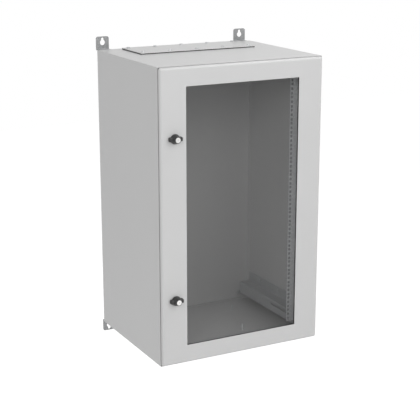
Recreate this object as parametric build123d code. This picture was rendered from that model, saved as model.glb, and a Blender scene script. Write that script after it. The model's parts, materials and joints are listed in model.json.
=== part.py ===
from build123d import *
import math
import os

os.makedirs("parts", exist_ok=True)

# The frame: X runs to the right seen from the front, Y runs back to the wall, Z runs up.
# The origin lies on the wall, in the middle of the round ends of the four keyholes.
# All sizes are in millimetres.

# Body
body_width = 600.0
body_height = 986.0
body_depth = 488.0
sheet = 1.5
body_corner_radius = 3.0
fold_radius = 1.0
rear_flange = 15.0

# Gutter and sealing lip round the door opening
gutter_depth = 10.3
gutter_width = 23.0

# Door
door_inset = 1.8
door_depth = 9.6
door_gap = 2.0
door_sheet = 1.5
door_edge_radius = 9.0
door_corner_radius = 2.5

# Window in the door
window_side_margin = 92.8
window_end_margin = 63.9
window_corner_radius = 2.0
glass_thickness = 4.0
gasket_depth = 6.0
gasket_width = 12.0
retainer_sheet = 1.5
retainer_lap = 10.0
retainer_flange = 10.5
retainer_gap = 1.0
retainer_nut_pitch = 170.0

# Foam seal on the door
seal_width = 10.5
seal_height = 6.2
soft_clearance = 0.3

# Hinges on the right side
hinge_inset = 9.0
hinge_setback = 8.0
hinge_end_margin = 143.0
hinge_knuckle_radius = 4.7
hinge_knuckle_height = 20.0
hinge_knuckle_gap = 0.3
hinge_pin_radius = 2.5
hinge_pin_clearance = 0.05
hinge_pin_head_radius = 3.8
hinge_pin_head_height = 2.0
hinge_plate = 2.5
hinge_arm = 3.0
hinge_leaf_reach = 10.0
hinge_base_width = 15.0
hinge_base_offset = 1.5
hinge_knuckles = 3
hinge_notch_clearance = 1.0
hinge_notch_skin = 4.0
hinge_screw_radius = 2.0
hinge_screw_head_radius = 3.8

# Locks on the left side
lock_inset = 52.0
lock_end_margin = 226.0
knob_base_radius = 16.2
knob_waist_radius = 12.8
knob_waist_height = 16.0
knob_face_radius = 10.5
knob_height = 25.5
knob_wing_span = 45.5
knob_wing_radius = 3.5
knob_wing_height = 14.5
knob_wing_depth = 13.0
knob_wing_taper = 3.0
knob_rim = 3.0
plug_radius = 8.5
plug_face_thickness = 1.7
plug_proud = 0.6
plug_stem_radius = 6.0
plug_stem_length = 9.0
keyway_length = 7.0
keyway_width = 1.8
keyway_depth = 4.0
housing_flange_radius = 15.0
housing_flange_thickness = 2.0
housing_barrel_radius = 11.0
housing_barrel_length = 19.0
housing_nut_flats = 26.0
housing_nut_height = 5.0
shaft_radius = 5.0
shaft_square = 7.0
running_clearance = 0.05
turning_clearance = 0.3
cam_length = 34.0
cam_width = 18.0
cam_thickness = 3.0
cam_clearance = 0.4
cam_fit = 0.1
cam_screw_radius = 2.0
cam_screw_length = 8.0
cam_washer_radius = 6.5
cam_washer_thickness = 1.2
cam_screw_flats = 7.0
cam_screw_head = 3.0

# Cable entry plate in the roof
entry_width = 436.0
entry_length = 160.0
entry_rear_margin = 20.0
entry_border = 32.0
entry_plate = 2.0
entry_plate_radius = 4.0
entry_gasket = 3.0
entry_screw_inset = 16.0
entry_screw_row_inset = 19.5
entry_screws_along = 5

# Wall brackets
wall_gap = 28.0
bracket_sheet = 3.0
bracket_bend = 2.0
bracket_width = 47.0
bracket_inset = 30.5
bracket_base = 44.0
bracket_drop_top = 1.0
bracket_drop_bottom = -2.0
bracket_lug = 43.0
bracket_lug_radius = 7.0
keyhole_height = 22.5
keyhole_radius = 9.5
keyhole_slot = 10.0
keyhole_rise = 11.7
bracket_bolt_spacing = 24.0
bracket_bolt_inset = 24.2

# Depth profiles along the side walls
profile_sheet = 2.0
profile_shelf_height = 70.0
profile_lip = 43.0
profile_slot_drop = 14.0
profile_flange = 38.0
profile_slot_length = 150.0
profile_slot_width = 7.0
profile_stud_height = 25.0
profile_stud_first = 38.0
profile_stud_pitch = 130.0
profile_stud_count = 3
profile_rear_gap = 2.0

# Rack rails, with the hole pattern that all 19 inch equipment uses
rack_unit = 44.45
rack_end_space = 90.0
rack_hole_offsets = (6.35, 22.225, 38.1)
rack_hole = 9.5
rack_hole_spacing = 465.1
rack_opening = 450.6
rail_setback = 82.0
rail_sheet = 2.0
rail_depth = 35.0
rail_return = 12.0
rail_face_width = 31.7
rail_lap = 26.5
rail_screw_first = 12.0
rail_screw_pitch = 14.0

# Screws, nuts and studs
m6_radius = 3.0
m6_flats = 10.0
m6_head = 4.0
m6_nut = 5.0
m8_radius = 4.0
m8_flats = 13.0
m8_head = 5.3
m8_nut = 6.5
m4_radius = 2.0
m4_flats = 7.0
m4_nut = 3.2
hole_clearance = 0.3
thread_clearance = 0.05
earth_stud_length = 25.0
earth_stud_chamfer = 1.0
earth_stud_places = ((100.0, 178.0), (165.0, 370.0))

# Heights
keyhole_above_body = keyhole_height - bracket_drop_top
keyhole_below_body = keyhole_height - bracket_drop_bottom
keyhole_pattern_height = body_height + keyhole_above_body + keyhole_below_body
body_bottom = keyhole_below_body - keyhole_pattern_height / 2
body_top = body_bottom + body_height
body_middle = (body_bottom + body_top) / 2
hinge_spacing = body_height - 2 * hinge_end_margin
lock_spacing = body_height - 2 * lock_end_margin
rack_units = int((body_height - rack_end_space) / rack_unit)
rail_length = body_height - 2 * (profile_shelf_height - rail_lap)

# Depths
rear_face = -wall_gap
door_front = rear_face - body_depth
door_skin_back = door_front + door_sheet
shell_front = door_front + door_depth + door_gap
gutter_floor = shell_front + gutter_depth
lip_front = door_skin_back + seal_height + soft_clearance
glass_front = door_skin_back + gasket_depth
rail_front = door_front + rail_setback
cam_front = gutter_floor + sheet + cam_clearance
rear_panel_front = rear_face - rear_flange

# Widths
wall_inside = body_width / 2 - sheet
door_width = body_width - 2 * door_inset
door_height = body_height - 2 * door_inset
window_width = body_width - 2 * window_side_margin
window_height = body_height - 2 * window_end_margin
hinge_x = body_width / 2 - hinge_inset
hinge_y = door_front + hinge_setback
lock_x = lock_inset - body_width / 2
bracket_x = body_width / 2 - bracket_inset
lip_inside = wall_inside - gutter_width - sheet
profile_face = rack_opening / 2 + rail_face_width
entry_y = rear_face - entry_rear_margin - entry_length / 2
overlap = 1.0


def facing_front(x, y, z):
    # a plane that looks out of the door: local X is X, local Y is Z
    return Plane(origin=(x, y, z), x_dir=(1, 0, 0), z_dir=(0, -1, 0))


def folded_section(points, thickness, inner_radius):
    # the section of a folded sheet, which lies on the right of the line through the points
    line = [Vector(*point) for point in points]
    headings = [(end - start).normalized() for start, end in zip(line, line[1:])]
    rights = [Vector(heading.Y, -heading.X) for heading in headings]
    other = [line[0] + rights[0] * thickness]
    near_radii = []
    far_radii = []
    for corner, before, after, heading in zip(line[1:], rights, rights[1:], headings):
        other.append(corner + (before + after) * (thickness / (1 + before.dot(after))))
        turns_right = heading.dot(after) < 0
        near_radii.append(inner_radius + thickness if turns_right else inner_radius)
        far_radii.append(inner_radius if turns_right else inner_radius + thickness)
    other.append(line[-1] + rights[-1] * thickness)
    near = FilletPolyline(*line, radius=near_radii)
    far = FilletPolyline(*other, radius=far_radii)
    return make_face([near, far, Line(line[0], other[0]), Line(line[-1], other[-1])])


def mitred_frame(section, width, height, y):
    # four lengths of one section, mitred at the corners; the section's X runs inward, its Y back
    half_width = width / 2
    half_height = height / 2
    reach = section.bounding_box().max.X + overlap
    sides = (
        ((half_width, 0), (-1, 0), height),
        ((0, half_height), (0, -1), width),
        ((-half_width, 0), (1, 0), height),
        ((0, -half_height), (0, 1), width),
    )
    frame = None
    for place, inward, length in sides:
        origin = Vector(place[0], y, body_middle + place[1])
        direction = Vector(inward[0], 0, inward[1])
        along = direction.cross(Vector(0, 1, 0))
        plane = Plane(origin=origin, x_dir=direction, z_dir=along)
        bar = extrude(plane * section, length / 2, both=True)
        mitre_plane = Plane(origin=origin, x_dir=along, z_dir=(0, -1, 0))
        inward_sign = 1 if mitre_plane.y_dir.dot(direction) > 0 else -1
        mitre = make_face(
            Polyline(
                (-length / 2, 0),
                (length / 2, 0),
                (length / 2 - reach, reach * inward_sign),
                (reach - length / 2, reach * inward_sign),
                close=True,
            )
        )
        bar = bar & extrude(mitre_plane * mitre, body_depth, both=True)
        frame = bar if frame is None else frame + bar
    return frame


def rounded_tray(width, height, depth, edge_radius):
    # the outside of a folded tray: two sections with round front edges, crossed
    across = Rectangle(width, depth, align=(Align.CENTER, Align.MIN))
    across = fillet(across.vertices().group_by(Axis.Y)[0], edge_radius)
    upright = Rectangle(height, depth, align=(Align.CENTER, Align.MIN))
    upright = fillet(upright.vertices().group_by(Axis.Y)[0], edge_radius)
    one_way = extrude(Plane.XY * across, height / 2, both=True)
    sideways = Plane(origin=(0, 0, 0), x_dir=(0, 0, 1), z_dir=(-1, 0, 0))
    return one_way & extrude(sideways * upright, width / 2, both=True)


def folded_tray(width, height, depth, thickness, edge_radius, corner_radius):
    # a tray folded from sheet, with its face at Y 0 and its open side at the back
    outer = rounded_tray(width, height, depth, edge_radius)
    outline = extrude(facing_front(0, depth, 0) * RectangleRounded(width, height, corner_radius), depth)
    inner = rounded_tray(width - 2 * thickness, height - 2 * thickness, depth, edge_radius - thickness)
    return (outer & outline) - Pos(0, thickness, 0) * inner


def hexagon(flats):
    # a hexagon by its width across flats
    return RegularPolygon(flats / 2, 6, major_radius=False)


def cylinder_up(radius, length):
    # a cylinder that stands on its plane
    return Cylinder(radius, length, align=(Align.CENTER, Align.CENTER, Align.MIN))


def hex_screw(radius, length, flats, head):
    # a hexagon screw: the head stands on the plane, the shank goes down
    return extrude(hexagon(flats), head) + Pos(0, 0, -length) * cylinder_up(radius, length + overlap)


def hex_nut(radius, flats, height):
    # a hexagon nut that hangs below the plane
    nut = extrude(hexagon(flats), -height)
    return nut - Pos(0, 0, -height) * cylinder_up(radius + thread_clearance, height)


def group(solids):
    # several like solids in one node
    return Compound(children=list(solids))


def spread(first, last, pitch):
    # evenly spaced places from first to last, no further apart than the pitch
    steps = max(1, math.ceil((last - first) / pitch))
    return [first + (last - first) * step / steps for step in range(steps + 1)]


# Places of the repeated fasteners
def entry_screw_places():
    # across the plate, in two rows
    half_width = entry_width / 2 - entry_screw_inset
    half_length = entry_length / 2 - entry_screw_row_inset
    pitch = 2 * half_width / (entry_screws_along - 1)
    columns = [pitch * step - half_width for step in range(entry_screws_along)]
    return [(x, entry_y + y) for x in columns for y in (-half_length, half_length)]


def bracket_bolt_height(side):
    # side is 1 at the top and -1 at the bottom
    if side > 0:
        return body_top - bracket_drop_top - bracket_bolt_inset
    return body_bottom + bracket_drop_bottom + bracket_bolt_inset


def bracket_bolt_places():
    places = []
    for x_side in (-1, 1):
        for z_side in (-1, 1):
            for step in (-0.5, 0.5):
                x = x_side * bracket_x + step * bracket_bolt_spacing
                places.append((x, bracket_bolt_height(z_side)))
    return places


def profile_front_end():
    return rail_front + rail_sheet + profile_rear_gap


def profile_length():
    return rear_panel_front - profile_rear_gap - profile_front_end()


def profile_stud_places():
    # along Y, behind the rails
    first = profile_front_end() + profile_stud_first
    return [first + profile_stud_pitch * step for step in range(profile_stud_count)]


def rail_screw_places():
    # along Y, in the overlap of rail and profile
    return [rail_front + rail_screw_first + rail_screw_pitch * step for step in (0, 1)]


def profile_heights():
    # the slots in the lips, at the bottom and at the top
    slot_height = profile_shelf_height - profile_slot_drop
    return (body_bottom + slot_height, body_top - slot_height)


# Body pieces
def make_body_shell():
    # one sheet wrapped round four corners, open at the front and at the back
    outer = RectangleRounded(body_width, body_height, body_corner_radius)
    inner = RectangleRounded(2 * wall_inside, body_height - 2 * sheet, body_corner_radius - sheet)
    shell = extrude(facing_front(0, rear_face, body_middle) * (outer - inner), rear_face - shell_front)
    opening = RectangleRounded(
        entry_width - 2 * entry_border, entry_length - 2 * entry_border, entry_plate_radius
    )
    shell -= extrude(Pos(0, entry_y, body_top) * opening, 2 * sheet, both=True)
    for x, y in entry_screw_places():
        shell -= Pos(x, y, body_top - 2 * sheet) * cylinder_up(m6_radius + hole_clearance, 4 * sheet)
    return shell


def make_front_frame():
    # sealing lip and gutter floor, whose outer edge is welded to the inside of the shell
    floor_depth = gutter_floor - lip_front
    section = folded_section(
        [(gutter_width, 0), (gutter_width, floor_depth), (0, floor_depth)],
        sheet,
        fold_radius,
    )
    frame = mitred_frame(section, 2 * wall_inside, body_height - 2 * sheet, lip_front)
    outline = RectangleRounded(2 * wall_inside, body_height - 2 * sheet, body_corner_radius - sheet)
    frame = frame & extrude(facing_front(0, rear_face, body_middle) * outline, body_depth)
    for hinge_z in hinge_heights():
        for z in hinge_screw_heights(hinge_z):
            hole = cylinder_up(hinge_screw_radius + hole_clearance, 4 * sheet)
            frame -= facing_front(hinge_base_x(), gutter_floor + 2 * sheet, z).location * hole
    return frame


def make_rear_panel():
    # a shallow tray welded into the back of the shell
    tray = folded_tray(
        2 * wall_inside,
        body_height - 2 * sheet,
        rear_flange,
        sheet,
        fold_radius + sheet,
        body_corner_radius - sheet,
    )
    tray = Pos(0, rear_face, body_middle) * Rot(0, 0, 180) * tray
    for x, z in bracket_bolt_places():
        hole = cylinder_up(m8_radius + hole_clearance, 4 * sheet)
        tray -= facing_front(x, rear_face + 2 * sheet, z).location * hole
    return tray


def make_entry_plate():
    # the cover of a cable entry, lying on its gasket, underside at Z 0
    plate = extrude(RectangleRounded(entry_width, entry_length, entry_plate_radius), entry_plate)
    plate = Pos(0, entry_y, 0) * plate
    for x, y in entry_screw_places():
        plate -= Pos(x, y, -overlap) * cylinder_up(m6_radius + hole_clearance, entry_plate + 2 * overlap)
    return plate


def make_entry_gasket():
    # the flat rubber frame under an entry plate
    outer = RectangleRounded(entry_width, entry_length, entry_plate_radius)
    inner = RectangleRounded(
        entry_width - 2 * entry_border, entry_length - 2 * entry_border, entry_plate_radius
    )
    gasket = Pos(0, entry_y, 0) * extrude(outer - inner, entry_gasket)
    for x, y in entry_screw_places():
        gasket -= Pos(x, y, -overlap) * cylinder_up(m6_radius + hole_clearance, entry_gasket + 2 * overlap)
    return gasket


def make_entry_screws():
    # hexagon screws, heads up, with the top of the plate at Z 0
    length = entry_plate + entry_gasket + sheet + m6_nut
    screw = hex_screw(m6_radius, length, m6_flats, m6_head)
    return group([Pos(x, y, 0) * screw for x, y in entry_screw_places()])


def make_entry_nuts():
    # nuts under the sheet, which is at Z 0
    nut = hex_nut(m6_radius, m6_flats, m6_nut)
    return group([Pos(x, y, 0) * nut for x, y in entry_screw_places()])


def make_wall_bracket(x, side):
    # base behind the body, web back to the wall, lug with a keyhole; side is 1 at the top
    web = body_top - bracket_drop_top
    if side < 0:
        web = -(body_bottom + bracket_drop_bottom)
    section = folded_section(
        [
            (rear_face, web - bracket_base),
            (rear_face, web),
            (-bracket_sheet, web),
            (-bracket_sheet, web + bracket_lug),
        ],
        bracket_sheet,
        bracket_bend,
    )
    bracket = extrude(Plane.YZ * section, bracket_width / 2, both=True)
    ends = bracket.edges().filter_by(Axis.Y).filter_by(lambda edge: edge.length < 2 * bracket_sheet)
    lug_corners = ends.group_by(Axis.Z)[-1]
    bracket = fillet(lug_corners, bracket_lug_radius)
    ends = bracket.edges().filter_by(Axis.Y).filter_by(lambda edge: edge.length < 2 * bracket_sheet)
    bracket = fillet(ends.group_by(Axis.Z)[0], bracket_sheet)
    round_end = Circle(keyhole_radius)
    slot = Pos(0, keyhole_rise / 2) * Rot(0, 0, 90) * SlotCenterToCenter(keyhole_rise, keyhole_slot)
    keyhole = facing_front(0, 0, web + keyhole_height) * (round_end + slot)
    bracket -= extrude(keyhole, 2 * bracket_sheet, both=True)
    bolt_z = abs(bracket_bolt_height(side))
    for step in (-0.5, 0.5):
        hole = cylinder_up(m8_radius + hole_clearance, 4 * bracket_sheet)
        place = facing_front(step * bracket_bolt_spacing, rear_face + 2 * bracket_sheet, bolt_z)
        bracket -= place.location * hole
    if side < 0:
        bracket = mirror(bracket, about=Plane.XY)
    return Pos(x, 0, 0) * bracket


def make_bracket_bolts():
    # from outside through bracket and rear panel, heads towards the wall
    length = bracket_sheet + sheet + m8_nut
    bolt = hex_screw(m8_radius, length, m8_flats, m8_head)
    bolts = []
    for x, z in bracket_bolt_places():
        plane = Plane(origin=(x, rear_face + bracket_sheet, z), x_dir=(1, 0, 0), z_dir=(0, 1, 0))
        bolts.append(plane.location * bolt)
    return group(bolts)


def make_bracket_nuts():
    # inside the rear panel
    nut = hex_nut(m8_radius, m8_flats, m8_nut)
    nuts = []
    for x, z in bracket_bolt_places():
        plane = Plane(origin=(x, rear_face - sheet, z), x_dir=(1, 0, 0), z_dir=(0, 1, 0))
        nuts.append(plane.location * nut)
    return group(nuts)


def make_depth_profile(x_side, z_side):
    # a folded shelf along a side wall: flange on the wall, shelf, lip that carries the rails
    shelf = body_middle - body_bottom - profile_shelf_height
    section = folded_section(
        [
            (profile_face, -shelf - profile_lip),
            (profile_face, -shelf),
            (wall_inside - profile_sheet, -shelf),
            (wall_inside - profile_sheet, -shelf + profile_flange),
        ],
        profile_sheet,
        fold_radius,
    )
    start = rear_panel_front - profile_rear_gap
    profile = extrude(facing_front(0, start, 0) * section, profile_length())
    slot = Rot(0, 0, 90) * SlotOverall(profile_slot_length, profile_slot_width)
    slot_y = profile_front_end() + profile_slot_length / 2 + profile_slot_width / 2
    slot_plane = Plane(
        origin=(profile_face, slot_y, -shelf - profile_slot_drop), x_dir=(0, 0, 1), z_dir=(-1, 0, 0)
    )
    profile -= extrude(slot_plane * slot, 2 * profile_sheet, both=True)
    for y in profile_stud_places():
        hole = cylinder_up(m6_radius + hole_clearance, 3 * profile_sheet)
        hole_start = (wall_inside + sheet / 2, y, -shelf + profile_stud_height)
        hole_plane = Plane(origin=hole_start, x_dir=(0, 1, 0), z_dir=(-1, 0, 0))
        profile -= hole_plane.location * hole
    if x_side < 0:
        profile = mirror(profile, about=Plane.YZ)
    if z_side > 0:
        profile = mirror(profile, about=Plane.XY)
    return Pos(0, 0, body_middle) * profile


def profile_fixings(maker):
    # one fastener at each stud place of the four profiles; the plane looks into the cabinet
    height = profile_shelf_height + profile_stud_height
    solids = []
    for x_side in (-1, 1):
        for z in (body_bottom + height, body_top - height):
            for y in profile_stud_places():
                plane = Plane(origin=(x_side * wall_inside, y, z), x_dir=(0, 1, 0), z_dir=(-x_side, 0, 0))
                solids.append(plane.location * maker())
    return group(solids)


def make_profile_stud():
    # welded to the wall
    return cylinder_up(m6_radius, profile_sheet + m6_nut + m6_radius)


def make_profile_nut():
    return Pos(0, 0, profile_sheet + m6_nut) * hex_nut(m6_radius, m6_flats, m6_nut)


def make_mounting_rail(side):
    # folded channel with square holes in groups of three
    face = rack_opening / 2
    section = folded_section(
        [
            (profile_face - rail_return, rail_front + rail_depth),
            (profile_face, rail_front + rail_depth),
            (profile_face, rail_front),
            (face, rail_front),
        ],
        rail_sheet,
        fold_radius,
    )
    rail = extrude(Pos(0, 0, body_middle) * section, rail_length / 2, both=True)
    lowest_unit = body_middle - rack_units * rack_unit / 2
    for unit in range(rack_units):
        for hole_offset in rack_hole_offsets:
            height = lowest_unit + unit * rack_unit + hole_offset
            hole = facing_front(rack_hole_spacing / 2, rail_front, height) * Rectangle(rack_hole, rack_hole)
            rail -= extrude(hole, 2 * rail_sheet, both=True)
    for z in profile_heights():
        for y in rail_screw_places():
            plane = Plane(origin=(profile_face, y, z), x_dir=(0, 1, 0), z_dir=(-1, 0, 0))
            rail -= extrude(plane * Circle(m6_radius + hole_clearance), 2 * rail_sheet, both=True)
    if side < 0:
        rail = mirror(rail, about=Plane.YZ)
    return rail


def rail_fixings(fastener, inward):
    # at the four rail ends, on the plane that lies the given distance inward of the joint
    solids = []
    for x_side in (-1, 1):
        for z in profile_heights():
            for y in rail_screw_places():
                plane = Plane(
                    origin=(x_side * (profile_face - inward), y, z), x_dir=(0, 1, 0), z_dir=(-x_side, 0, 0)
                )
                solids.append(plane.location * fastener)
    return group(solids)


def make_rail_screws():
    length = rail_sheet + profile_sheet + m6_nut
    return rail_fixings(hex_screw(m6_radius, length, m6_flats, m6_head), rail_sheet)


def make_rail_nuts():
    return rail_fixings(hex_nut(m6_radius, m6_flats, m6_nut), -profile_sheet)


def make_earth_studs():
    # welded to the cabinet floor, for the earth cables
    stud = cylinder_up(m8_radius, earth_stud_length)
    stud = chamfer(stud.edges().group_by(Axis.Z)[-1], earth_stud_chamfer)
    floor = body_bottom + sheet
    return group([Pos(x, door_front + y, floor) * stud for x, y in earth_stud_places])


# Hinges
def hinge_heights():
    return (body_middle - hinge_spacing / 2, body_middle + hinge_spacing / 2)


def hinge_base_x():
    # the base lies in the gutter, between the lip and the side wall
    return wall_inside - gutter_width / 2 + hinge_base_offset


def hinge_screw_heights(hinge_z):
    return (hinge_z - hinge_knuckle_height, hinge_z + hinge_knuckle_height)


def hinge_half_height():
    return hinge_knuckles * hinge_knuckle_height / 2 + hinge_knuckle_gap


def knuckle(radius, bore, z_low, z_high):
    # a tube round the hinge axis, at X 0, Y 0
    tube = Pos(0, 0, z_low) * cylinder_up(radius, z_high - z_low)
    return tube - Pos(0, 0, z_low - overlap) * cylinder_up(bore, z_high - z_low + 2 * overlap)


def make_hinge_frame(hinge_z):
    # middle knuckle, arm and the base in the gutter
    bore = hinge_pin_radius + hinge_pin_clearance
    half = hinge_knuckle_height / 2
    base_front = gutter_floor - hinge_plate - hinge_y
    floor_depth = gutter_floor - hinge_y
    base_x = hinge_base_x() - hinge_x
    arm = Pos(-hinge_knuckle_radius, 0, -half) * Box(
        hinge_arm,
        floor_depth,
        2 * half,
        align=(Align.MIN, Align.MIN, Align.MIN),
    )
    arm -= Pos(0, 0, -half - overlap) * cylinder_up(bore, 2 * half + 2 * overlap)
    base = Pos(base_x, base_front, 0) * Box(
        hinge_base_width,
        hinge_plate,
        2 * hinge_half_height(),
        align=(Align.CENTER, Align.MIN, Align.CENTER),
    )
    base = fillet(base.edges().filter_by(Axis.Y), hinge_plate)
    for z in hinge_screw_heights(0):
        sink = Cone(
            hinge_screw_radius + hole_clearance,
            hinge_screw_head_radius + hole_clearance,
            hinge_plate,
            align=(Align.CENTER, Align.CENTER, Align.MIN),
        )
        base -= facing_front(base_x, floor_depth, z).location * sink
    return Pos(hinge_x, hinge_y, hinge_z) * (knuckle(hinge_knuckle_radius, bore, -half, half) + arm + base)


def make_hinge_leaf(hinge_z):
    # outer knuckles on a leaf that is welded to the inside of the door
    bore = hinge_pin_radius + hinge_pin_clearance
    low = hinge_knuckle_height / 2 + hinge_knuckle_gap
    high = hinge_half_height()
    skin = door_skin_back - hinge_y
    flat_end = door_width / 2 - door_edge_radius - hinge_x
    leaf_section = make_face(
        Polyline(
            (-hinge_leaf_reach, skin),
            (min(flat_end, 0) - fold_radius, skin),
            (0, 0),
            (-hinge_knuckle_radius, 0),
            (-hinge_leaf_reach + hinge_plate, skin + hinge_plate),
            (-hinge_leaf_reach, skin + hinge_plate),
            close=True,
        )
    )
    leaf = Pos(-hinge_leaf_reach, skin, -high) * Box(
        hinge_leaf_reach - hinge_knuckle_radius - soft_clearance,
        hinge_plate,
        2 * high,
        align=(Align.MIN, Align.MIN, Align.MIN),
    )
    for z_low in (low, -high):
        leaf += extrude(Pos(0, 0, z_low) * leaf_section, high - low)
        leaf += Pos(0, 0, z_low) * cylinder_up(hinge_knuckle_radius, high - low)
    leaf -= Pos(0, 0, -high - overlap) * cylinder_up(bore, 2 * high + 2 * overlap)
    return Pos(hinge_x, hinge_y, hinge_z) * leaf


def make_hinge_pin(hinge_z):
    # headed pin, dropped in from above
    high = hinge_half_height()
    pin = Pos(0, 0, -high) * cylinder_up(hinge_pin_radius, 2 * high + overlap)
    head = Pos(0, 0, high + hinge_knuckle_gap) * cylinder_up(hinge_pin_head_radius, hinge_pin_head_height)
    return Pos(hinge_x, hinge_y, hinge_z) * (pin + head)


def make_hinge_screws():
    # countersunk, flush with the base
    screws = []
    for hinge_z in hinge_heights():
        for z in hinge_screw_heights(hinge_z):
            head = Cone(
                hinge_screw_radius,
                hinge_screw_head_radius,
                hinge_plate,
                align=(Align.CENTER, Align.CENTER, Align.MIN),
            )
            shank = Pos(0, 0, -2 * sheet) * cylinder_up(hinge_screw_radius, 2 * sheet + overlap)
            screws.append(facing_front(hinge_base_x(), gutter_floor, z).location * (head + shank))
    return group(screws)


# Door pieces
def lock_heights():
    return {"lower": body_middle - lock_spacing / 2, "upper": body_middle + lock_spacing / 2}


def retainer_nut_places():
    # round the window, in the middle of the retainer's outer flange
    inset = gasket_width + retainer_gap + retainer_sheet + retainer_flange / 2
    half_width = window_width / 2 + inset
    half_height = window_height / 2 + inset
    places = []
    for z in spread(-half_height, half_height, retainer_nut_pitch):
        places += [(-half_width, body_middle + z), (half_width, body_middle + z)]
    for x in spread(-half_width, half_width, retainer_nut_pitch)[1:-1]:
        places += [(x, body_middle - half_height), (x, body_middle + half_height)]
    return places


def make_door_panel():
    # folded tray with soft front edges, the window, two lock holes and a notch at each hinge
    panel = folded_tray(
        door_width, door_height, door_depth, door_sheet, door_edge_radius, door_corner_radius
    )
    panel = Pos(0, door_front, body_middle) * panel
    window = RectangleRounded(window_width, window_height, window_corner_radius)
    panel -= extrude(facing_front(0, door_front, body_middle) * window, 2 * door_sheet, both=True)
    for z in lock_heights().values():
        hole = Circle(housing_barrel_radius + hole_clearance)
        panel -= extrude(facing_front(lock_x, door_front, z) * hole, 2 * door_sheet, both=True)
    notch_height = hinge_knuckle_height + 2 * hinge_notch_clearance
    for z in hinge_heights():
        notch = Box(
            2 * hinge_inset,
            door_depth,
            notch_height,
            align=(Align.CENTER, Align.MIN, Align.CENTER),
        )
        panel -= Pos(body_width / 2, door_front + hinge_notch_skin, z) * notch
    return panel


def make_window_glass():
    width = window_width + 2 * (gasket_width - soft_clearance)
    height = window_height + 2 * (gasket_width - soft_clearance)
    pane = RectangleRounded(width, height, window_corner_radius)
    back = facing_front(0, glass_front + glass_thickness, body_middle)
    return extrude(back * pane, glass_thickness)


def make_window_gasket():
    # rubber frame between the door skin and the glass
    outer = RectangleRounded(
        window_width + 2 * gasket_width, window_height + 2 * gasket_width, window_corner_radius
    )
    inner = RectangleRounded(window_width, window_height, window_corner_radius)
    return extrude(facing_front(0, glass_front, body_middle) * (outer - inner), gasket_depth)


def make_window_retainer():
    # folded frame that holds the glass, with its outer flange on the door skin
    web = retainer_flange + retainer_sheet
    lift = gasket_depth + glass_thickness
    section = folded_section(
        [(web + retainer_lap, lift), (web, lift), (web, 0), (0, 0)], retainer_sheet, fold_radius
    )
    inset = gasket_width + retainer_gap + web
    frame = mitred_frame(section, window_width + 2 * inset, window_height + 2 * inset, door_skin_back)
    for x, z in retainer_nut_places():
        hole = cylinder_up(m4_radius + hole_clearance, 4 * retainer_sheet)
        frame -= facing_front(x, door_skin_back + 3 * retainer_sheet, z).location * hole
    return frame


def make_retainer_nuts():
    # a welded stud and its flange nut, at each place round the window
    solids = []
    for x, z in retainer_nut_places():
        stud = cylinder_up(m4_radius, retainer_sheet + overlap)
        nut = Pos(0, 0, retainer_sheet) * extrude(hexagon(m4_flats), m4_nut)
        plane = Plane(origin=(x, door_skin_back, z), x_dir=(1, 0, 0), z_dir=(0, 1, 0))
        solids.append(plane.location * (stud + nut))
    return group(solids)


def make_door_seal():
    # foam ring that meets the lip; its middle is over the middle of the lip
    lip_from_side = body_width / 2 - lip_inside - sheet / 2
    outer_inset = lip_from_side - seal_width / 2
    inner_inset = lip_from_side + seal_width / 2
    outer = RectangleRounded(
        body_width - 2 * outer_inset, body_height - 2 * outer_inset, seal_width
    )
    inner = RectangleRounded(
        body_width - 2 * inner_inset, body_height - 2 * inner_inset, window_corner_radius
    )
    back = facing_front(0, door_skin_back + seal_height, body_middle)
    return extrude(back * (outer - inner), seal_height)


# Lock pieces, each on its own axis: Z 0 is the door's front face and Z points at the user
def make_lock_housing():
    # flange outside, threaded barrel through the door
    outside = cylinder_up(housing_flange_radius, housing_flange_thickness)
    outside = chamfer(outside.edges().group_by(Axis.Z)[-1], housing_flange_thickness / 2)
    barrel = Pos(0, 0, -housing_barrel_length) * cylinder_up(
        housing_barrel_radius, housing_barrel_length + overlap
    )
    bore_length = housing_barrel_length + housing_flange_thickness + 2 * overlap
    bore = cylinder_up(shaft_radius + running_clearance, bore_length)
    return outside + barrel - Pos(0, 0, -housing_barrel_length - overlap) * bore


def make_lock_nut():
    # tightened against the inside of the door skin
    nut = hex_nut(housing_barrel_radius, housing_nut_flats, housing_nut_height)
    return Pos(0, 0, -door_sheet) * nut


def knob_foot():
    return housing_flange_thickness + turning_clearance


def plug_seat():
    return knob_height + plug_proud - plug_face_thickness


def stem_foot():
    return plug_seat() - plug_stem_length


def make_knob():
    # turned body with a wide skirt, and a rounded bar across it for two fingers
    foot = knob_foot()
    skirt_top = foot + knob_rim
    outline = make_face(
        Polyline(
            (0, foot),
            (knob_base_radius, foot),
            (knob_base_radius, skirt_top),
            (knob_waist_radius, knob_waist_height),
            (knob_face_radius, knob_height),
            (0, knob_height),
            close=True,
        )
    )
    knob = revolve(Plane.XZ * outline, Axis.Z)
    wing = RectangleRounded(knob_wing_span, knob_wing_height, knob_wing_radius)
    wings = extrude(Pos(0, 0, foot) * wing, knob_wing_depth, taper=knob_wing_taper)
    wings = chamfer(wings.edges().group_by(Axis.Z)[-1], knob_rim / 2)
    knob = knob + wings
    seat = plug_seat() - running_clearance
    knob -= Pos(0, 0, seat) * cylinder_up(plug_radius + running_clearance, knob_height)
    knob -= Pos(0, 0, stem_foot() - running_clearance) * cylinder_up(
        plug_stem_radius + running_clearance, knob_height
    )
    socket_length = shaft_head() + running_clearance
    return knob - cylinder_up(shaft_radius + running_clearance, socket_length)


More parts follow.
